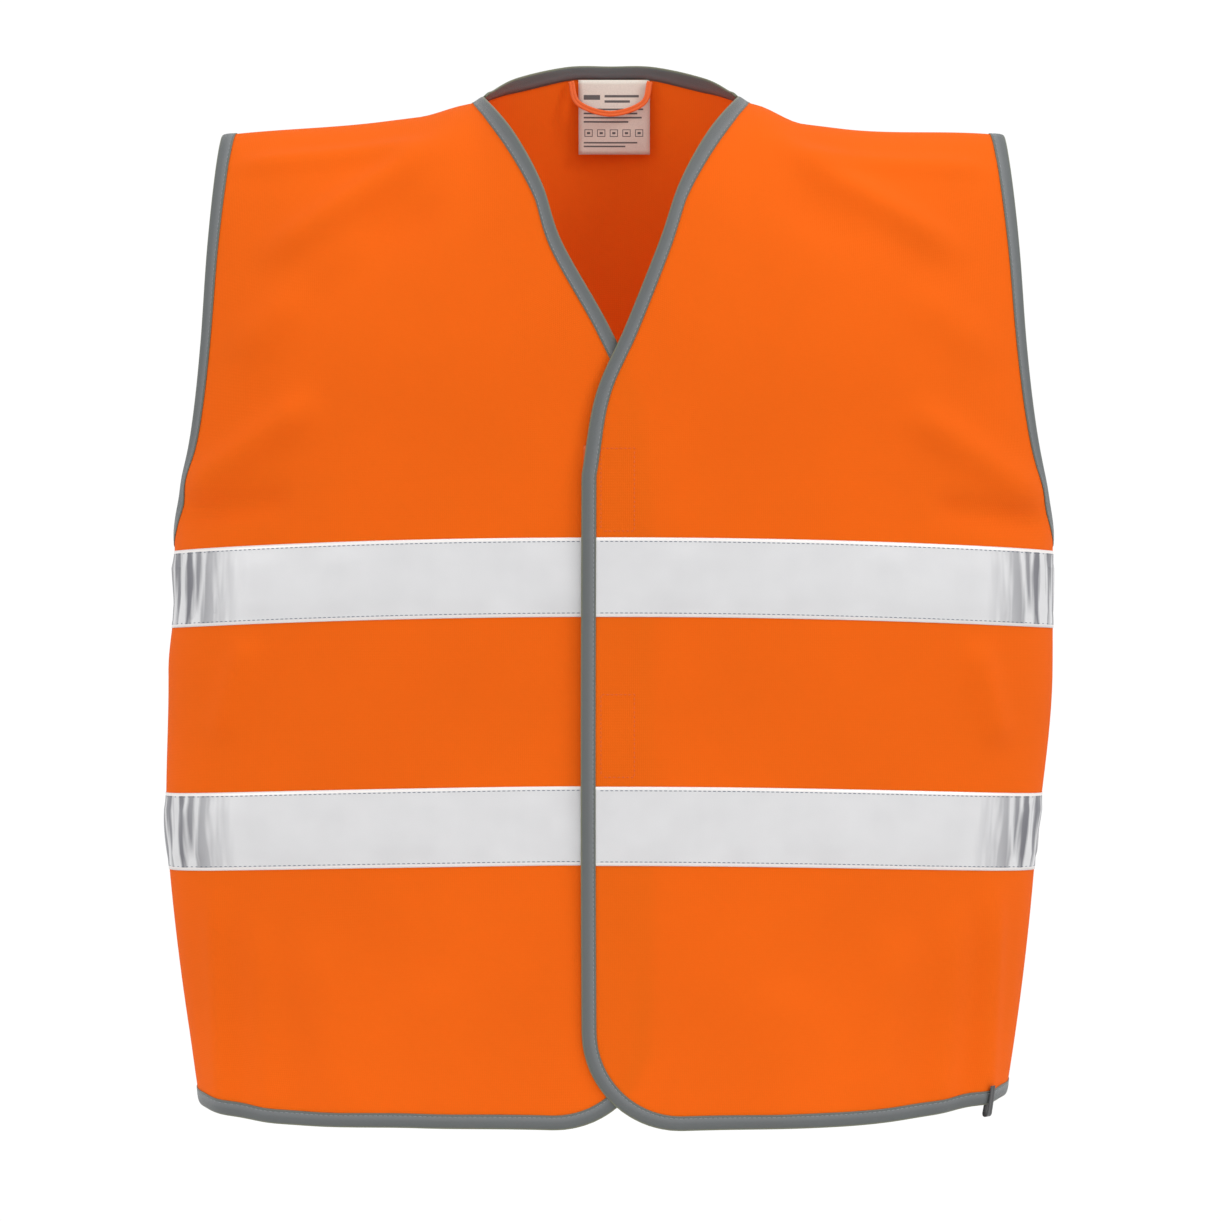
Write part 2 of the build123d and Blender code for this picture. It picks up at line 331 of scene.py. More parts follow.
FRONT_ARMHOLE = armhole_line([(0.2855, -0.268), (0.2735, -0.215), (0.2665, -0.160), (0.262, -0.095)])
BACK_ARMHOLE = armhole_line([
    (0.2862, -0.275), (0.2799, -0.262), (0.2680, -0.235), (0.2585, -0.200),
    (0.2525, -0.160), (0.2508, -0.120), (0.2512, -0.080),
])
BACK_NECK = curve([
    NECK_POINT, (0.062, 0.0225), (0.030, 0.0335), (0.0, 0.0348),
    (-0.030, 0.0335), (-0.062, 0.0225), (-NECK_POINT[0], NECK_POINT[1]),
])


def mirrored(path):
    """The same line on the other side, running the other way."""
    return path[::-1] * (-1, 1)


def shoulder_line():
    """Along the shoulder seam, from its tip to the neck point."""
    x = np.linspace(SHOULDER_TIP_X, NECK_POINT[0], 30)
    return np.stack([x, ridge(x)], axis=1)


def side_line():
    """Up the side seam from the hem to the underarm."""
    z = np.linspace(HEM_SIDE_Z, UNDERARM, 600)
    return np.stack([half_width(z), z], axis=1)


def back_hem_line():
    """The hem right across the back."""
    return np.vstack([mirrored(hem_line(0.0)), hem_line(0.0)[1:]])


def front_outline(edge_x):
    """Runs of points round one front, against the clock from the neck point."""
    hem = hem_line(edge_x + CORNER_RADIUS)
    return [neck_line(edge_x), opening_line(edge_x), hem, side_line(), FRONT_ARMHOLE, shoulder_line()]


def back_outline():
    """Runs of points round the back, starting along the hem."""
    right = [side_line(), BACK_ARMHOLE, shoulder_line(), BACK_NECK]
    left = [mirrored(shoulder_line()), mirrored(BACK_ARMHOLE), mirrored(side_line())]
    return [back_hem_line(), *right, *left]


# ---- mesh building -----------------------------------------------------------------------
# Lengths travelled round the body and over the shoulder, against the angles of to_angles.
GIRTH = np.linspace(-math.pi / 2, math.pi / 2, 721)
GIRTH_OVAL = oval(GIRTH, SIDE_POWER)
GIRTH_POINTS = np.stack([CHEST_HALF_WIDTH * GIRTH_OVAL[0], BODY_HALF_DEPTH * GIRTH_OVAL[1]])
GIRTH_LENGTH = np.concatenate([[0], np.cumsum(np.hypot(*np.diff(GIRTH_POINTS, axis=1)))])
GIRTH_LENGTH -= GIRTH_LENGTH[len(GIRTH) // 2]
OVER = np.linspace(0, math.pi / 2, 361)
OVER_OVAL = oval(OVER, SHOULDER_POWER)
OVER_POINTS = np.stack([BODY_HALF_DEPTH * OVER_OVAL[1], -SHOULDER_START * OVER_OVAL[0]])
OVER_LENGTH = np.concatenate([[0], np.cumsum(np.hypot(*np.diff(OVER_POINTS, axis=1)))])


def unrolled(x, z):
    """Place on the cloth as if it lay nearly flat."""
    around, over = to_angles(x, z)
    height = np.where(over > 0, SHOULDER_START + np.interp(over, OVER, OVER_LENGTH), z)
    return np.stack([np.interp(around, GIRTH, GIRTH_LENGTH), height], axis=-1)


def rolled(flat):
    """Back from the flat cloth to the place seen from the front."""
    around = np.interp(flat[:, 0], GIRTH_LENGTH, GIRTH)
    over = np.interp(flat[:, 1] - SHOULDER_START, OVER_LENGTH, OVER, left=0.0)
    point = from_angles(around, over, flat[:, 1])
    return point[:, 0], point[:, 2]


def sewn_line(path, distance):
    """The line that lies a distance into the cloth from an edge."""
    flat = evenly(unrolled(path[:, 0], path[:, 1]), BINDING_STEP)
    way = np.gradient(flat, axis=0)
    way /= np.maximum(np.hypot(*way.T), 1e-9)[:, None]
    into = np.stack([-way[:, 1], way[:, 0]], axis=1)
    here, beside = (surface(*rolled(flat + into * reach))[0] for reach in (0.0, MM))
    stretch = np.clip(np.linalg.norm(beside - here, axis=1) / MM, 0.6, 1.6)
    return np.stack(rolled(flat + into * (distance / stretch)[:, None]), axis=1)


def new_object(name, verts, faces, mat, smooth_shade=True):
    """A mesh object with one material, linked to the scene."""
    mesh = bpy.data.meshes.new(name)
    mesh.from_pydata([tuple(v) for v in verts], [], [tuple(f) for f in faces])
    mesh.polygons.foreach_set("use_smooth", [smooth_shade] * len(mesh.polygons))
    mesh.materials.append(mat)
    obj = bpy.data.objects.new(name, mesh)
    bpy.context.scene.collection.objects.link(obj)
    return obj


def cloth_piece(name, side, outline, span, mat, step=MESH_STEP):
    """Thin closed sheet that fills an outline."""
    edge = np.vstack([evenly(run, step * 0.7)[:-1] for run in outline])
    flat_edge = unrolled(edge[:, 0], edge[:, 1])
    low, high = flat_edge.min(axis=0), flat_edge.max(axis=0)
    columns, levels = np.meshgrid(np.arange(low[0], high[0], step), np.arange(low[1], high[1], step))
    columns = columns + (np.arange(len(columns)) % 2)[:, None] * step / 2
    inside = keep_inside(np.stack([columns.ravel(), levels.ravel()], axis=1), flat_edge, step * 0.55)
    points = np.vstack([flat_edge, inside])
    ring = list(range(len(flat_edge)))
    verts, _, faces, *_ = delaunay_2d_cdt([tuple(p) for p in points], [], [ring], 1, 1e-7)
    flat = np.array([tuple(v) for v in verts])
    x, z = rolled(flat)
    count = len(flat)
    upper, lower = side.place(x, z, span[1]), side.place(x, z, span[0])
    faces = [list(f) for f in faces]
    rim = outer_edges(faces)
    walls = [(b, a, a + count, b + count) for a, b in rim]
    back_faces = [[i + count for i in reversed(f)] for f in faces]
    every = faces + back_faces + walls
    if side.flips():
        every = [list(reversed(f)) for f in every]
    obj = new_object(name, np.vstack([upper, lower]), every, mat)
    add_uv(obj, np.vstack([flat, flat]))
    return obj


def keep_inside(points, ring, margin):
    """Points within a closed line and not close to it."""
    following = np.roll(ring, -1, axis=0)
    inside = np.zeros(len(points), bool)
    nearest = np.full(len(points), 1.0)
    for (x0, y0), (x1, y1) in zip(ring, following):
        crossing = (y0 > points[:, 1]) != (y1 > points[:, 1])
        reach = (x1 - x0) * (points[:, 1] - y0) / (y1 - y0 if y1 != y0 else 1e-12) + x0
        inside ^= crossing & (points[:, 0] < reach)
        nearest = np.minimum(nearest, np.hypot(points[:, 0] - x0, points[:, 1] - y0))
    return points[inside & (nearest > margin)]


def outer_edges(faces):
    """Directed edges used by one face only."""
    directed = {(a, b) for f in faces for a, b in zip(f, [*f[1:], f[0]])}
    return [(a, b) for a, b in directed if (b, a) not in directed]


def strip_piece(name, rows, mat, flip, flat_places=None):
    """Closed skin over rows of points: rows run along the strip, columns round its section."""
    rows = np.array(rows)
    count, around = rows.shape[:2]
    faces = []
    for i in range(count - 1):
        for j in range(around):
            k = (j + 1) % around
            faces.append((i * around + j, i * around + k, (i + 1) * around + k, (i + 1) * around + j))
    faces.append(tuple(range(around))[::-1])
    faces.append(tuple((count - 1) * around + j for j in range(around)))
    if flip:
        faces = [tuple(reversed(f)) for f in faces]
    obj = new_object(name, rows.reshape(-1, 3), faces, mat)
    if flat_places is not None:
        add_uv(obj, flat_places.reshape(-1, 2))
    return obj


def add_uv(obj, per_vertex):
    """Places on the flat cloth, in metres, as the mesh's UV map."""
    layer = obj.data.uv_layers.new(name="Strip")
    loops = np.zeros(len(obj.data.loops), dtype=np.int32)
    obj.data.loops.foreach_get("vertex_index", loops)
    layer.data.foreach_set("uv", per_vertex[loops].astype(np.float32).ravel())


# ---- edge binding, tapes and stitches ----------------------------------------------------
# Section of the folded binding, in mm: distance into the cloth from its edge, height.
BINDING_PROFILE = (
    (8.6, 0.80), (8.6, 1.20), (7.4, 1.30), (7.0, 1.16), (6.5, 1.32), (4.5, 1.45), (2.2, 1.45),
    (0.6, 1.25), (-0.4, 0.85), (-0.8, 0.35), (-0.4, -0.20), (0.6, -0.55), (2.2, -0.70), (4.5, -0.70),
    (8.6, -0.60), (8.6, -0.20), (4.5, -0.20), (1.2, -0.05), (0.5, 0.35), (1.2, 0.75), (4.5, 0.80),
)


def tape_sag(x):
    """How much lower a tape runs here than at the front's middle."""
    return TAPE_DROP * (x / 0.3) ** 2


def over_tapes(x, z):
    """1 where a place lies on a reflective tape, easing to 0 outside it."""
    drop = tape_sag(x)
    cover = np.zeros_like(x)
    for top in TAPE_TOPS:
        inside = np.minimum(top - drop - z, z - (top - drop - TAPE_WIDTH))
        cover = np.maximum(cover, smooth(inside / 0.003 + 1))
    return cover


def binding_piece(name, side, path, mat):
    """Binding folded round an edge; its outer layers climb over the tapes."""
    columns, flat_places = [], []
    for depth, height in BINDING_PROFILE:
        line = sewn_line(path, depth * MM)
        travelled = np.arange(len(line)) * BINDING_STEP
        rise = OVER_TAPE_RISE * over_tapes(line[:, 0], line[:, 1]) if height > 0.5 else 0.0
        columns.append(side.place(line[:, 0], line[:, 1], height * MM + rise))
        flat_places.append(np.stack([travelled, np.full(len(line), depth * MM)], axis=1))
    rows, places = np.stack(columns, axis=1), np.stack(flat_places, axis=1)
    return strip_piece(name, rows, mat, not side.flips(), places)


def tape_drape(x, z, seed):
    """Crinkles of the stiffer tape, strongest towards the side seams."""
    near_side = smooth((np.abs(x) - 0.225) / 0.045)
    crinkle = np.sin(x * 430 + 60 * z + seed) * 0.8 + np.sin(x * 710 - 45 * z + 2 * seed) * 0.5
    broad = np.sin(x * 95 + 14 * z + 1.3 * seed) * 0.30 + np.sin(x * 41 + 25 * z + seed) * 0.2
    return (near_side * crinkle + broad) * MM


def tape_piece(name, side, top, start_x, mat):
    """One reflective tape out to the side seam, sewn down along both edges."""
    start, end = unrolled(np.array([start_x, at_side(top)]), np.array([top, top]))[:, 0]
    girth = np.linspace(start, end, int((end - start) / 0.0022) + 2)
    around = np.interp(girth, GIRTH_LENGTH, GIRTH)
    share = oval(around, SIDE_POWER)[0]
    # distance down from the top edge, and 0 for the inner face or 1 for the outer
    profile = [(0.0, 0), (0.0, 1), (TAPE_SEAMS[0], 1), (0.006, 1)]
    profile += [(down, 1) for down in np.linspace(0.011, 0.039, 7)]
    profile += [(0.044, 1), (TAPE_SEAMS[1], 1), (TAPE_WIDTH, 1), (TAPE_WIDTH, 0), (TAPE_WIDTH / 2, 0)]
    columns, flat_places = [], []
    for down, upper in profile:
        z = np.full_like(share, top - down)
        for _ in range(2):
            x = half_width(z) * share
            z = top - down - tape_sag(x)
        x = half_width(z) * share
        free_across = smooth(min(down - TAPE_SEAMS[0], TAPE_SEAMS[1] - down) / 0.009)
        free_along = smooth((girth - girth[0] - 0.009) / 0.012)
        height = TAPE[upper] + (tape_drape(x, z, side.seed) + 0.0005) * (free_across * free_along) * upper
        columns.append(side.place(x, z, np.maximum(height, TAPE[0])))
        flat_places.append(np.stack([girth, np.full_like(girth, down)], axis=1))
    rows, places = np.stack(columns, axis=1), np.stack(flat_places, axis=1)
    return strip_piece(name, rows, mat, not side.flips(), places)


# One stitch: places along, across and out from the cloth, as shares of its length and width.
STITCH = ((-0.5, 0.0, 0.0), (-0.3, 0.5, 0.1), (-0.3, 0.0, 0.55), (-0.3, -0.5, 0.1), (-0.3, 0.0, -0.3),
          (0.3, 0.5, 0.1), (0.3, 0.0, 0.55), (0.3, -0.5, 0.1), (0.3, 0.0, -0.3), (0.5, 0.0, 0.0))
STITCH_FACES = ((0, 2, 1), (0, 3, 2), (0, 4, 3), (0, 1, 4), (1, 2, 6, 5), (2, 3, 7, 6), (3, 4, 8, 7),
                (4, 1, 5, 8), (9, 5, 6), (9, 6, 7), (9, 7, 8), (9, 8, 5))


def stitch_piece(name, rows, mat, pitch=0.0031, length=0.0023, width=0.00042):
    """Lock stitches along rows, each a side, a path and a function giving the height they sit at."""
    verts, faces = [], []
    for side, path, height_at in rows:
        stops = evenly(path, pitch)
        height = height_at(stops)
        here = side.place(stops[:, 0], stops[:, 1], height)
        proud = side.place(stops[:, 0], stops[:, 1], height + MM)
        along = np.gradient(here, axis=0)
        along /= np.linalg.norm(along, axis=1, keepdims=True)
        out = (proud - here) / np.linalg.norm(proud - here, axis=1, keepdims=True)
        across = np.cross(out, along)
        for p, a, c, n in zip(here[1:-1], along[1:-1], across[1:-1], out[1:-1]):
            first = len(verts)
            verts += [p + a * (u * length) + c * (v * width) + n * (w * width) for u, v, w in STITCH]
            faces += [tuple(first + i for i in f) for f in STITCH_FACES]
    return new_object(name, verts, faces, mat)


# ---- materials ---------------------------------------------------------------------------
class Nodes:
    """A material's node tree with its Principled shader."""

    def __init__(self, name, colour, roughness, **sockets):
        self.mat = bpy.data.materials.new(name)
        self.mat.use_nodes = True
        self.tree = self.mat.node_tree
        self.shader = self.tree.nodes["Principled BSDF"]
        self.shader.inputs["Base Color"].default_value = (*colour, 1)
        self.shader.inputs["Roughness"].default_value = roughness
        for socket, value in sockets.items():
            self.shader.inputs[socket.replace("_", " ")].default_value = value

    def add(self, kind, **values):
        """A new node; each value goes to the socket or the setting of that name."""
        node = self.tree.nodes.new(kind)
        for key, value in values.items():
            if key in node.inputs:
                node.inputs[key].default_value = value
            else:
                setattr(node, key, value)
        return node

    def link(self, source, target):
        self.tree.links.new(source, target)

    def math(self, operation, a, b):
        """Result of a Math node on two numbers or sockets."""
        node = self.add("ShaderNodeMath", operation=operation)
        for value, socket in ((a, node.inputs[0]), (b, node.inputs[1])):
            if isinstance(value, (int, float)):
                socket.default_value = value
            else:
                self.link(value, socket)
        return node.outputs[0]

    def bump(self, height, distance, strength=1.0):
        node = self.add("ShaderNodeBump", Distance=distance, Strength=strength)
        self.link(height, node.inputs["Height"])
        self.link(node.outputs["Normal"], self.shader.inputs["Normal"])

    def place(self, uv=False):
        """Coordinates for textures, in metres: on the flat cloth, or in the room."""
        node = self.add("ShaderNodeTexCoord")
        return node.outputs["UV" if uv else "Object"]

    def wave(self, coordinate, direction, pitch, distortion=0.0):
        """Bands with the given pitch, 0 to 1."""
        node = self.add("ShaderNodeTexWave", Scale=math.pi / 10 / pitch, Distortion=distortion, Detail=1.0)
        node.bands_direction = direction
        self.link(coordinate, node.inputs["Vector"])
        return node.outputs["Fac"]

    def noise(self, coordinate, size, detail=2.0):
        """Soft blotches of about the given size, 0 to 1."""
        node = self.add("ShaderNodeTexNoise", Scale=1 / size, Detail=detail)
        self.link(coordinate, node.inputs["Vector"])
        return node.outputs["Fac"]

    def ramp(self, value, *stops):
        """Colour from a value, between stops of position and colour."""
        node = self.add("ShaderNodeValToRGB")
        ramp = node.color_ramp
        while len(ramp.elements) < len(stops):
            ramp.elements.new(0.5)
        for element, (position, colour) in zip(ramp.elements, stops):
            element.position = position
            element.color = (*colour, 1)
        self.link(value, node.inputs["Fac"])
        return node.outputs["Color"]

    def colour(self, socket):
        self.link(socket, self.shader.inputs["Base Color"])

    def glow_through(self, share, colour):
        """Light from behind shows through the cloth."""
        through = self.add("ShaderNodeBsdfTranslucent", Color=(*colour, 1))
        mix = self.add("ShaderNodeMixShader", Fac=share)
        self.link(self.shader.outputs["BSDF"], mix.inputs[1])
        self.link(through.outputs["BSDF"], mix.inputs[2])
        self.link(mix.outputs["Shader"], self.tree.nodes["Material Output"].inputs["Surface"])


def knit_material():
    """Fluorescent warp knit with fine wales and courses."""
    n = Nodes(
        "orange_knit", KNIT_COLOUR, 0.85, Sheen_Weight=0.03, Sheen_Roughness=0.5, Specular_IOR_Level=0.12,
    )
    n.shader.inputs["Sheen Tint"].default_value = (1.0, 0.55, 0.35, 1)
    place = n.place(uv=True)
    wales = n.wave(place, "X", 0.0013)
    courses = n.wave(place, "Y", 0.0010, 0.6)
    cells = n.math("MULTIPLY", wales, courses)
    patches = n.noise(place, 0.12, 3.0)
    fine = n.noise(place, 0.0015, 2.0)
    shade = n.math("ADD", n.math("MULTIPLY", patches, 0.55), n.math("MULTIPLY", cells, 0.30))
    shade = n.math("ADD", shade, n.math("MULTIPLY", fine, 0.15))
    darker = tuple(c * 0.90 for c in KNIT_COLOUR)
    lighter = tuple(min(c * 1.10, 1.0) for c in KNIT_COLOUR)
    n.colour(n.ramp(shade, (0.15, darker), (0.5, KNIT_COLOUR), (0.9, lighter)))
    n.bump(n.math("ADD", cells, n.math("MULTIPLY", fine, 0.6)), 0.00015, 0.7)
    n.glow_through(0.30, (1.0, 0.36, 0.12))
    return n.mat


def tape_material():
    """Glass-bead tape: silver with a fine grain, bare margins and painted shade in the crinkles at the
    sides.
    """
    n = Nodes("silver_tape", (0.62, 0.62, 0.63), 0.40, Metallic=0.30, Specular_IOR_Level=0.5)
    place = n.place(uv=True)
    parts = n.add("ShaderNodeSeparateXYZ")
    n.link(place, parts.inputs[0])
    grain = n.noise(place, 0.0005, 3.0)
    weave = n.math("MULTIPLY", n.wave(place, "X", 0.0007), n.wave(place, "Y", 0.0007))
    cloud = n.noise(place, 0.03, 2.0)
    shade = n.math("ADD", n.math("MULTIPLY", grain, 0.5), n.math("MULTIPLY", cloud, 0.5))
    silver = n.ramp(shade, (0.25, (0.60, 0.60, 0.61)), (0.75, (0.70, 0.70, 0.71)))
    # Painted shade: dark grey streaks mixed into the silver where the tape crinkles near the side seams.
    upright = n.add("ShaderNodeMapping")
    upright.inputs["Scale"].default_value = (1.0, 0.12, 1.0)
    n.link(place, upright.inputs["Vector"])
    streaks = n.noise(upright.outputs["Vector"], 0.010, 2.0)
    creases_from, per_metre = 0.242, 22.0
    from_front = n.math("ABSOLUTE", parts.outputs["X"], 0.0)
    out = n.math("MULTIPLY", n.math("SUBTRACT", from_front, creases_from), per_metre)
    near_side = n.ramp(out, (0.0, (0, 0, 0)), (1.0, (1, 1, 1)))
    painted_crease_shade = n.math("MULTIPLY", near_side, n.ramp(streaks, (0.42, (0, 0, 0)), (0.56, (1, 1, 1))))
    crease_shaded = n.add("ShaderNodeMix", data_type="RGBA")
    n.link(painted_crease_shade, crease_shaded.inputs[0])
    n.link(silver, crease_shaded.inputs[6])
    crease_shaded.inputs[7].default_value = (0.17, 0.17, 0.19, 1)
    from_middle = n.math("ABSOLUTE", n.math("SUBTRACT", parts.outputs["Y"], TAPE_WIDTH / 2), 0.0)
    margin = n.math("GREATER_THAN", from_middle, TAPE_WIDTH / 2 - 0.0019)
    bare = n.add("ShaderNodeMix", data_type="RGBA")
    n.link(margin, bare.inputs[0])
    n.link(crease_shaded.outputs[2], bare.inputs[6])
    bare.inputs[7].default_value = (0.80, 0.76, 0.74, 1)
    n.colour(bare.outputs[2])
    n.bump(n.math("ADD", n.math("MULTIPLY", grain, 0.7), n.math("MULTIPLY", weave, 0.5)), 0.00008, 0.6)
    return n.mat


def binding_material():
    """Folded grey tape: fine cross ribs, paler along the stitch row and greenish-yellow at its edges."""
    n = Nodes(
        "grey_binding", (0.12, 0.13, 0.125), 0.45,
        Sheen_Weight=0.05, Sheen_Roughness=0.35, Specular_IOR_Level=0.4,
    )
    place = n.place(uv=True)
    ribs = n.wave(place, "X", 0.0007)
    threads = n.wave(place, "Y", 0.0005)
    parts = n.add("ShaderNodeSeparateXYZ")
    n.link(place, parts.inputs[0])
    inward = n.math("MULTIPLY", parts.outputs["Y"], 100.0)
    inset_tone = n.math("ADD", inward, n.math("MULTIPLY", n.noise(place, 0.002, 3.0), 0.06))
    n.colour(n.ramp(
        inset_tone, (0.0, (0.150, 0.162, 0.105)), (0.07, (0.098, 0.108, 0.106)), (0.40, (0.110, 0.119, 0.122)),
        (0.72, (0.160, 0.170, 0.176)), (0.80, (0.100, 0.110, 0.110)), (0.93, (0.160, 0.165, 0.095)),
    ))
    n.bump(n.math("ADD", ribs, n.math("MULTIPLY", threads, 0.5)), 0.0001, 0.7)
    return n.mat


def plain_material(name, colour, roughness, grain, depth):
    """Small trim: thread, label cloth, black tape, pile."""
    n = Nodes(name, colour, roughness, Sheen_Weight=0.2)
    place = n.place()
    weave = n.math("MULTIPLY", n.wave(place, "X", grain), n.wave(place, "Z", grain))
    speckle = n.noise(place, grain * 1.5, 3.0)
    shade = n.math("ADD", n.math("MULTIPLY", weave, 0.4), n.math("MULTIPLY", speckle, 0.6))
    dark = tuple(c * 0.82 for c in colour)
    light = tuple(min(c * 1.12, 1.0) for c in colour)
    n.colour(n.ramp(shade, (0.2, dark), (0.8, light)))
    n.bump(shade, depth, 0.8)
    return n.mat


# ---- camera and light --------------------------------------------------------------------
def make_camera():
    """Level camera straight in front, with the whole vest in view."""
    data = bpy.data.cameras.new("camera")
    data.lens = data.sensor_width / 2 * CAMERA_DISTANCE / VIEW_HALF_WIDTH
    camera = bpy.data.objects.new("camera", data)
    camera.location = (0, -BODY_HALF_DEPTH - CAMERA_DISTANCE, VIEW_HEIGHT)
    camera.rotation_euler = (math.pi / 2, 0, 0)
    bpy.context.scene.collection.objects.link(camera)
    bpy.context.scene.camera = camera


def make_world():
    """White studio, a little dimmer from below, shown without a film curve."""
    bpy.context.scene.view_settings.view_transform = "Standard"
    world = bpy.data.worlds.new("studio")
    world.use_nodes = True
    nodes, links = world.node_tree.nodes, world.node_tree.links
    place = nodes.new("ShaderNodeTexCoord")
    parts = nodes.new("ShaderNodeSeparateXYZ")
    ramp = nodes.new("ShaderNodeValToRGB")
    height = nodes.new("ShaderNodeMapRange")
    height.inputs["From Min"].default_value = -1
    for position, level in ((0.0, 0.5), (0.30, 0.65), (0.40, 1.03)):
        element = ramp.color_ramp.elements.new(position)
        element.color = (level, level, level, 1)
    ramp.color_ramp.elements.remove(ramp.color_ramp.elements[0])
    links.new(place.outputs["Generated"], parts.inputs[0])
    links.new(parts.outputs["Z"], height.inputs["Value"])
    links.new(height.outputs[0], ramp.inputs["Fac"])
    links.new(ramp.outputs["Color"], nodes["Background"].inputs["Color"])
    nodes["Background"].inputs["Strength"].default_value = 1.0
    bpy.context.scene.world = world


def make_lights():
    """Three soft lamps: name, place, size and power."""
    lamps = (
        ("key", (1.7, -1.1, 1.3), 0.7, 19),
        ("fill", (-2.1, -1.5, 0.7), 1.2, 10),
        ("top", (0.0, -0.6, 2.0), 1.0, 4),
    )
    for name, place, size, power in lamps:
        data = bpy.data.lights.new(name, "AREA")
        data.size = size
        data.energy = power
        lamp = bpy.data.objects.new(name, data)
        lamp.location = place
        aim = np.array([0, 0, VIEW_HEIGHT]) - np.array(place)
        lamp.rotation_euler = (
            math.atan2(math.hypot(aim[0], aim[1]), -aim[2]), 0, math.atan2(aim[1], aim[0]) - math.pi / 2,
        )
        bpy.context.scene.collection.objects.link(lamp)


def make_floor():
    """Round pale floor well below the hem."""
    radius, level_z = 0.9, -0.95
    angles = np.radians(np.arange(0, 360, 5))
    verts = [(radius * math.cos(a), radius * math.sin(a), level_z) for a in angles]
    paper = Nodes("pale_floor", (0.9, 0.9, 0.9), 0.9).mat
    new_object("pale_floor", verts, [range(len(verts))], paper, smooth_shade=False)


# ---- the vest ----------------------------------------------------------------------------
MATS = {}                    # filled by make_materials


def make_materials():
    """Everything the pieces are made of."""
    MATS["knit"] = knit_material()
    MATS["tape"] = tape_material()
    MATS["binding"] = binding_material()
    MATS["tape_thread"] = plain_material("blue_grey_thread", (0.06, 0.09, 0.14), 0.6, 0.0004, 0.00005)
    MATS["binding_thread"] = plain_material("pale_thread", (0.25, 0.27, 0.28), 0.6, 0.0004, 0.00005)
    MATS["orange_thread"] = plain_material("orange_thread", THREAD_COLOUR, 0.6, 0.0004, 0.00005)
    MATS["loop"] = plain_material("orange_loop_tape", (0.86, 0.13, 0.008), 0.6, 0.0006, 0.0001)
    MATS["seam"] = plain_material("overlocked_edge", (0.80, 0.11, 0.006), 0.9, 0.0014, 0.0004)
    MATS["pile"] = plain_material("orange_pile", (0.80, 0.13, 0.015), 0.95, 0.0009, 0.0005)
    MATS["label"] = plain_material("label_cloth", (0.78, 0.74, 0.66), 0.8, 0.0004, 0.00004)
    MATS["print"] = plain_material("label_print", (0.12, 0.12, 0.12), 0.8, 0.0004, 0.00002)
    MATS["black"] = plain_material("black_tape", (0.028, 0.029, 0.032), 0.6, 0.0006, 0.00012)


def attach(piece, side):
    """A front's pieces keep their place baked into the mesh; the back's ride on the vest body."""
    if side.back:
        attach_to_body(piece, "vest_body")
        return
    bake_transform(piece)


def level(height):
    """The same height all along a row of stitches."""
    return lambda path: np.full(len(path), height)


def on_binding(path):
    """Height of the binding's outer face along a row of stitches."""
    return BINDING_TOP + OVER_TAPE_RISE * over_tapes(path[:, 0], path[:, 1])


def tape_line(top, down, start_x):
    """A line along a tape, a way down from its top edge, out to the side seam."""
    x = np.linspace(start_x, at_side(top), 240)
    z = top - down - tape_sag(x)
    return np.stack([np.clip(x, -half_width(z), half_width(z)), z], axis=1)


def sew_binding(name, stitches_name, side, path, *stands_for):
    """A binding and its row of stitches."""
    bound = binding_piece(name, side, path, MATS["binding"])
    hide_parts(*stands_for)
    attach(bound, side)
    rows = [(side, sewn_line(path, BINDING_SEAM), on_binding)]
    stitches = stitch_piece(stitches_name, rows, MATS["binding_thread"])
    attach(stitches, side)


def sew_tape(side, label, top, start_x, stitches_from_x, flat_length, *stands_for):
    """A reflective tape and its two rows of stitches."""
    tape = tape_piece(f"{side.name}_{label}_reflective_tape", side, top, start_x, MATS["tape"])
    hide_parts(*stands_for)
    attach(tape, side)
    rows = [(side, tape_line(top, down, stitches_from_x), level(TAPE[1])) for down in TAPE_SEAMS]
    stitches = stitch_piece(f"{side.name}_{label}_tape_stitches", rows, MATS["tape_thread"])
    attach(stitches, side)


def make_front(side, edge_x):
    """One front with its binding and tapes."""
    name = side.name
    cloth = cloth_piece(f"{name}_cloth", side, front_outline(edge_x), CLOTH, MATS["knit"])
    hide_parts(f"{name}_flap_panel", f"{name}_side_panel")
    attach(cloth, side)
    hem = hem_line(edge_x + CORNER_RADIUS)
    edge = np.vstack([neck_line(edge_x)[:-1], opening_line(edge_x)[:-1], hem])
    nodes = (f"{name}_flap_edge_binding", f"{name}_neck_binding", f"{name}_hem_binding")
    sew_binding(f"{name}_edge_binding", f"{name}_binding_stitches", side, edge, *nodes)
    for label, top in zip(("upper", "lower"), TAPE_TOPS):
        nodes = (f"{name}_flap_{label}_tape", f"{name}_side_{label}_tape")
        sew_tape(side, label, top, edge_x + 0.002, edge_x + 0.009, 0.36, *nodes)


def make_back():
    """The back with its neck and hem bindings and tapes."""
    cloth = cloth_piece("back_cloth", BACK, back_outline(), CLOTH, MATS["knit"])
    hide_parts("back_panel")
    attach(cloth, BACK)
    for name, path in (("back_neck_binding", BACK_NECK), ("back_hem_binding", back_hem_line())):
        sew_binding(f"{name}_tape", f"{name}_stitches", BACK, path, name)
    for label, top in zip(("upper", "lower"), TAPE_TOPS):
        sew_tape(BACK, label, top, -at_side(top), -at_side(top), 0.69, f"back_{label}_tape")


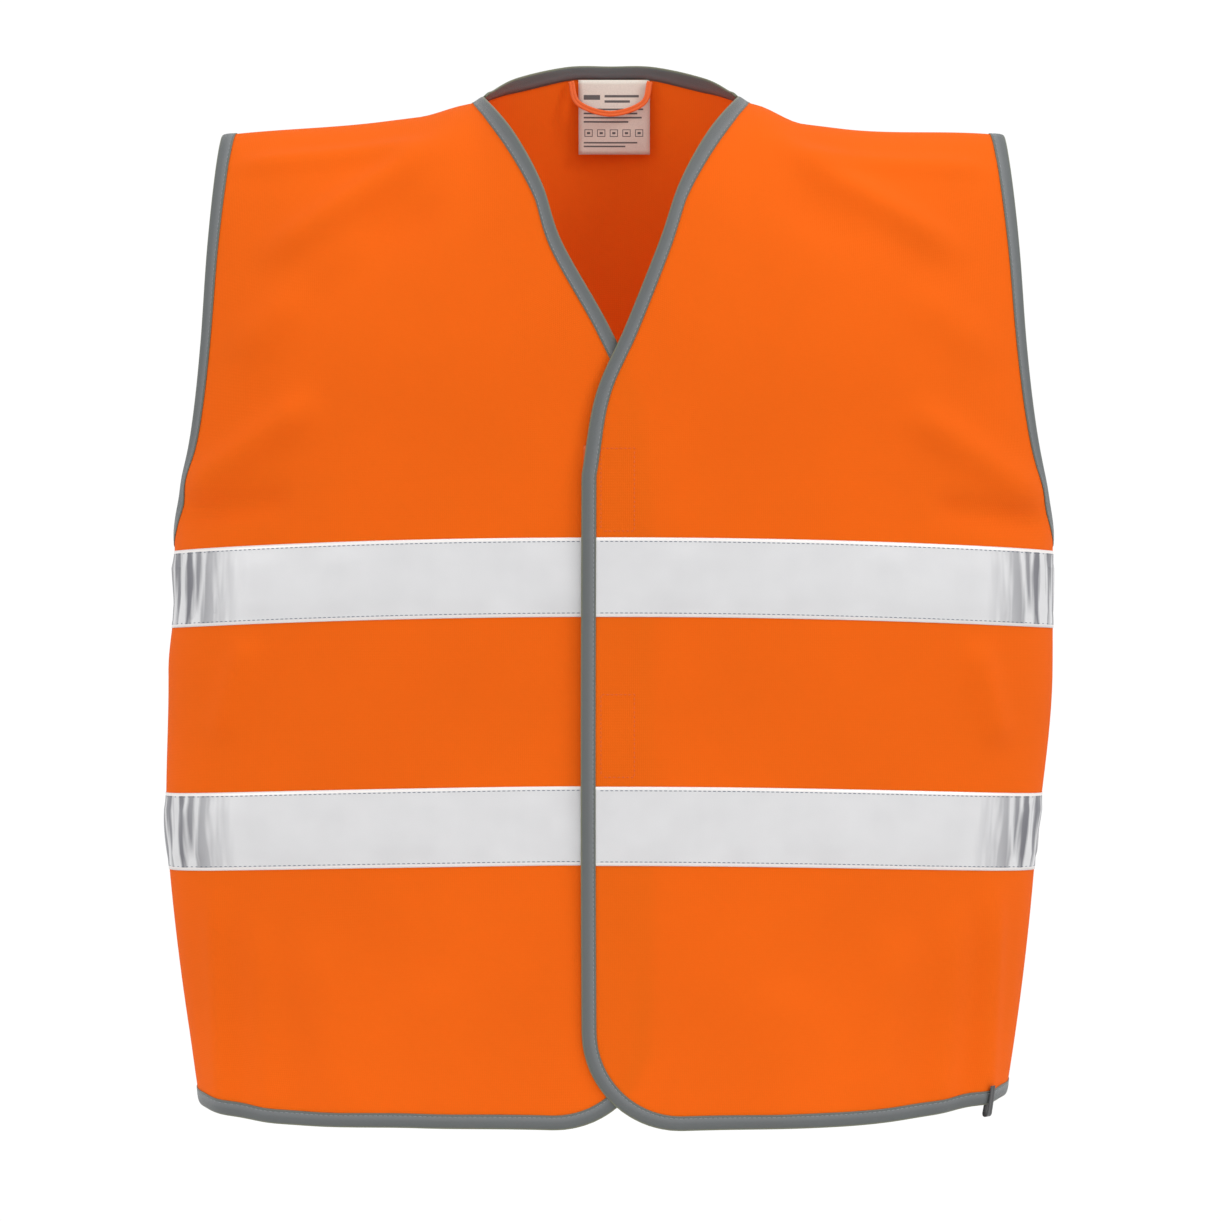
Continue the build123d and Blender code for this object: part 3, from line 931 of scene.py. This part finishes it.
def make_armholes():
    """Bindings and stitches round both armholes, front half and back half."""
    for name, mirror in (("left", False), ("right", True)):
        front = Side(f"{name}_armhole", mirror, False, 0.0, RIGHT.seed if mirror else LEFT.seed)
        back = Side(f"{name}_armhole_back", mirror, True, 0.0, BACK.seed)
        runs = [(front, FRONT_ARMHOLE), (back, BACK_ARMHOLE)]
        pieces = [
            binding_piece(f"{name}_armhole_binding_{i}", side, path, MATS["binding"])
            for i, (side, path) in enumerate(runs)
        ]
        for piece, node in zip(pieces, (f"{name}_front_armhole_binding", f"{name}_back_armhole_binding")):
            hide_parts(node)
            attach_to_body(piece, "vest_body")
        rows = [(side, sewn_line(path, BINDING_SEAM), on_binding) for side, path in runs]
        stitches = stitch_piece(f"{name}_armhole_stitches", rows, MATS["binding_thread"])
        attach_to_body(stitches, "vest_body")


def soft_tape(name, centres, across, width, thickness, mat):
    """Narrow woven tape with rounded edges along a line of points."""
    centres = np.array(centres, float)
    along = np.gradient(centres, axis=0)
    along /= np.linalg.norm(along, axis=1, keepdims=True)
    across = np.broadcast_to(np.array(across, float), centres.shape)
    out = np.cross(along, across)
    out /= np.linalg.norm(out, axis=1, keepdims=True)
    half, thick = width / 2, thickness / 2
    section = [(-1.0, 0.0), (-0.94, 0.7), (-0.8, 1.0), (-0.15, 1.0), (0.0, 0.6), (0.15, 1.0), (0.8, 1.0)]
    section += [(0.94, 0.7), (1.0, 0.0), (0.94, -0.7), (0.8, -1.0), (0.0, -1.0), (-0.8, -1.0)]
    section += [(-0.94, -0.7)]
    rows = np.stack([centres + across * (u * half) + out * (v * thick) for u, v in section], axis=1)
    return strip_piece(name, rows, mat, False)


def make_hanger_loop():
    """A narrow strip that hangs by its two ends from the back neck binding."""
    points = [(-0.0265, 0.0246), (-0.0215, 0.0100), (0.0, 0.003), (0.0215, 0.0100), (0.0265, 0.0246)]
    path = evenly(curve(points), 0.0008)
    way = np.gradient(path, axis=0)
    way /= np.hypot(*way.T)[:, None]
    across = np.stack([-way[:, 1], np.zeros(len(way)), way[:, 0]], axis=1)
    centres = np.stack([path[:, 0], np.full(len(path), LOOP_Y), path[:, 1]], axis=1)
    loop = soft_tape("folded_hanger_loop", centres, across, 0.004, 0.0012, MATS["loop"])
    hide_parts("hanger_loop")
    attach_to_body(loop, "hanger_loop")


def label_point(u, v, lift):
    """Place on the label: u across, v down from its top edge, both in metres."""
    bulge = np.sin(math.pi * v / LABEL_LENGTH) * np.sin(math.pi * (u - LABEL_LEFT) / LABEL_WIDTH)
    out = LABEL_BELLY * bulge + lift
    y = LABEL_TOP[0] + v * math.sin(LABEL_LEAN) - out * math.cos(LABEL_LEAN)
    z = LABEL_TOP[1] - v * math.cos(LABEL_LEAN) - out * math.sin(LABEL_LEAN)
    return np.stack([u + 0 * v, y, z], axis=-1)


def make_label():
    """The size label and its plain print."""
    across = np.linspace(LABEL_LEFT, LABEL_LEFT + LABEL_WIDTH, 17)
    down = np.linspace(0, LABEL_LENGTH, 18)
    u, v = np.meshgrid(across, down)
    lifts = (LABEL_HALF_THICKNESS, -LABEL_HALF_THICKNESS)
    points = np.vstack([label_point(u, v, lift).reshape(-1, 3) for lift in lifts])
    wide, tall = len(across), len(down)
    faces = []
    for i in range(tall - 1):
        for j in range(wide - 1):
            faces.append((i * wide + j, (i + 1) * wide + j, (i + 1) * wide + j + 1, i * wide + j + 1))
    count = wide * tall
    rim = [(b, a, a + count, b + count) for a, b in outer_edges(faces)]
    behind = [tuple(i + count for i in reversed(f)) for f in faces]
    label = new_object("folded_size_label", points, faces + behind + rim, MATS["label"])
    printed = label_print("label_bars", label_bars())
    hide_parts("size_label")
    for piece in (label, printed):
        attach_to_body(piece, "vest_body")


def label_bars():
    """Left, top, width and height of each mark, from the label's top left corner."""
    heading = [(0.0035, 0.0100, 0.011, 0.0032), (0.0175, 0.0100, 0.023, 0.0016)]
    heading += [(0.0175, 0.0135, 0.017, 0.0016)]
    lines = [(0.0035, 0.0190 + 0.0028 * i, w, 0.0011) for i, w in enumerate((0.040, 0.036, 0.039, 0.030))]
    boxes = [(0.0040 + 0.0085 * i, 0.0330, 0.0055, 0.0050) for i in range(5)]
    foot = [(0.0035, 0.0415, 0.036, 0.0010), (0.0035, 0.0440, 0.028, 0.0010)]
    return heading + lines + boxes + foot


def label_print(name, bars):
    """Plain ink bars and open boxes on the label's front."""
    verts, faces = [], []

    def block(left, top, width, height):
        columns = np.linspace(left, left + width, max(int(width / 0.003), 1) + 1) + LABEL_LEFT
        first = len(verts)
        for u in columns:
            for v in (top, top + height):
                verts.append(label_point(u, np.array(v), INK_LIFT))
        for k in range(len(columns) - 1):
            i = first + 2 * k
            faces.append((i, i + 1, i + 3, i + 2))

    lowest_box, line = 0.004, 0.0005
    for left, top, width, height in bars:
        if height < lowest_box:
            block(left, top, width, height)
            continue
        block(left, top, width, line)
        block(left, top + height - line, width, line)
        block(left, top + line, line, height - 2 * line)
        block(left + width - line, top + line, line, height - 2 * line)
        block(left + width * 0.3, top + height * 0.35, width * 0.4, height * 0.3)
    return new_object(name, verts, faces, MATS["print"])


def make_hem_tag():
    """Short black tape folded over the hem."""
    outside, inside = 0.0023, -0.0016
    turn_z, outside_end, inside_end = -0.653, -0.634, -0.636
    middle, half = (outside + inside) / 2, (outside - inside) / 2
    heights = np.linspace(outside, inside, 9)
    drop = 0.0018 * np.sqrt(np.clip(1 - ((heights - middle) / half) ** 2, 0, 1))
    path = [(z, outside) for z in np.linspace(outside_end, turn_z, 9)]
    path += [(turn_z - d, h) for d, h in zip(drop[1:-1], heights[1:-1])]
    path += [(z, inside) for z in np.linspace(turn_z, inside_end, 8)]
    z, lift = np.array(path).T
    points = LEFT.place(np.full_like(z, HEM_TAG_X), z, lift)
    beside = LEFT.place(np.full_like(z, HEM_TAG_X + 0.003), z, lift)
    across = (beside - points) / np.linalg.norm(beside - points, axis=1, keepdims=True)
    tag = soft_tape("folded_hem_tag", points, across, 0.006, 0.0006, MATS["black"])
    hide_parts("hem_tag")
    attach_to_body(tag, "vest_body")


def patch_outline(top, margin=0.0):
    """The four edges of a patch, or of a rectangle a margin inside it."""
    left, right = PATCH_X - PATCH_SIZE[0] / 2 + margin, PATCH_X + PATCH_SIZE[0] / 2 - margin
    low, high = top - PATCH_SIZE[1] + margin, top - margin
    corners = np.array([(left, low), (right, low), (right, high), (left, high), (left, low)])
    return [corners[i:i + 2] for i in range(4)]


def make_patches():
    """Hooks inside the left front and pile outside the right one, two pads each."""
    # side, kind, span of the pad, height of the hooks or pile, of the stitches, rows, slot
    kinds = (
        (LEFT, "hook", (-0.0010, 0.00015), -0.00115, CLOTH[1], 12, "hook_tape"),
        (RIGHT, "loop", (0.00075, 0.00175), 0.00180, 0.00178, 8, "loop_tape"),
    )
    for side, kind, span, tips, sewn_at, row_count, slot in kinds:
        for label, top in zip(("upper", "lower"), PATCH_TOPS):
            name = f"{label}_{kind}"
            pad = cloth_piece(f"{name}_pad", side, patch_outline(top), span, MATS["pile"], 0.004)
            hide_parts(f"{name}_patch")
            low, high = top - PATCH_SIZE[1] + 0.003, top - 0.003
            lines = [PATCH_X + d for d in np.linspace(-0.0095, 0.0095, row_count)]
            rows = [(side, np.array([(x, low), (x, high)]), level(tips)) for x in lines]
            pile = stitch_piece(f"{name}_pile", rows, MATS["pile"], 0.0016, 0.0010, 0.00035)
            sewn = [(side, np.vstack(patch_outline(top, 0.002)), level(sewn_at))]
            thread = MATS["orange_thread"]
            stitches = stitch_piece(f"{name}_stitches", sewn, thread, 0.0028, 0.0020, 0.00035)
            for piece in (pad, pile, stitches):
                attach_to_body(piece, f"{side.name}_flap")


def make_seams():
    """Overlocked seam allowances on the inside, down the sides and along the shoulders."""
    for name, turn in (("left", 1), ("right", -1)):
        z = np.linspace(HEM_SIDE_Z + 0.001, UNDERARM - 0.001, 150)
        side = np.stack([half_width(z) - 0.0050, 0.0006 * np.sin(z * 130), z], axis=1)
        x = np.linspace(0.100, 0.244, 80)
        shoulder = np.stack([x, 0.0006 * np.sin(x * 130), ridge(x) - 0.0058], axis=1)
        for part, centres, across in (("side", side, (1, 0, 0)), ("shoulder", shoulder, (0, 0, 1))):
            across = np.array(across) * (turn, 1, 1)
            centres = settle(centres * (turn, 1, 1))
            seam = soft_tape(f"{name}_{part}_seam", centres, across, 0.008, 0.0014, MATS["seam"])
            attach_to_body(seam, "vest_body")


make_camera()
make_world()
make_lights()
make_floor()
make_materials()
make_front(LEFT, OVER_EDGE)
make_front(RIGHT, UNDER_EDGE)
make_back()
make_armholes()
make_hanger_loop()
make_label()
make_hem_tag()
make_patches()
make_seams()
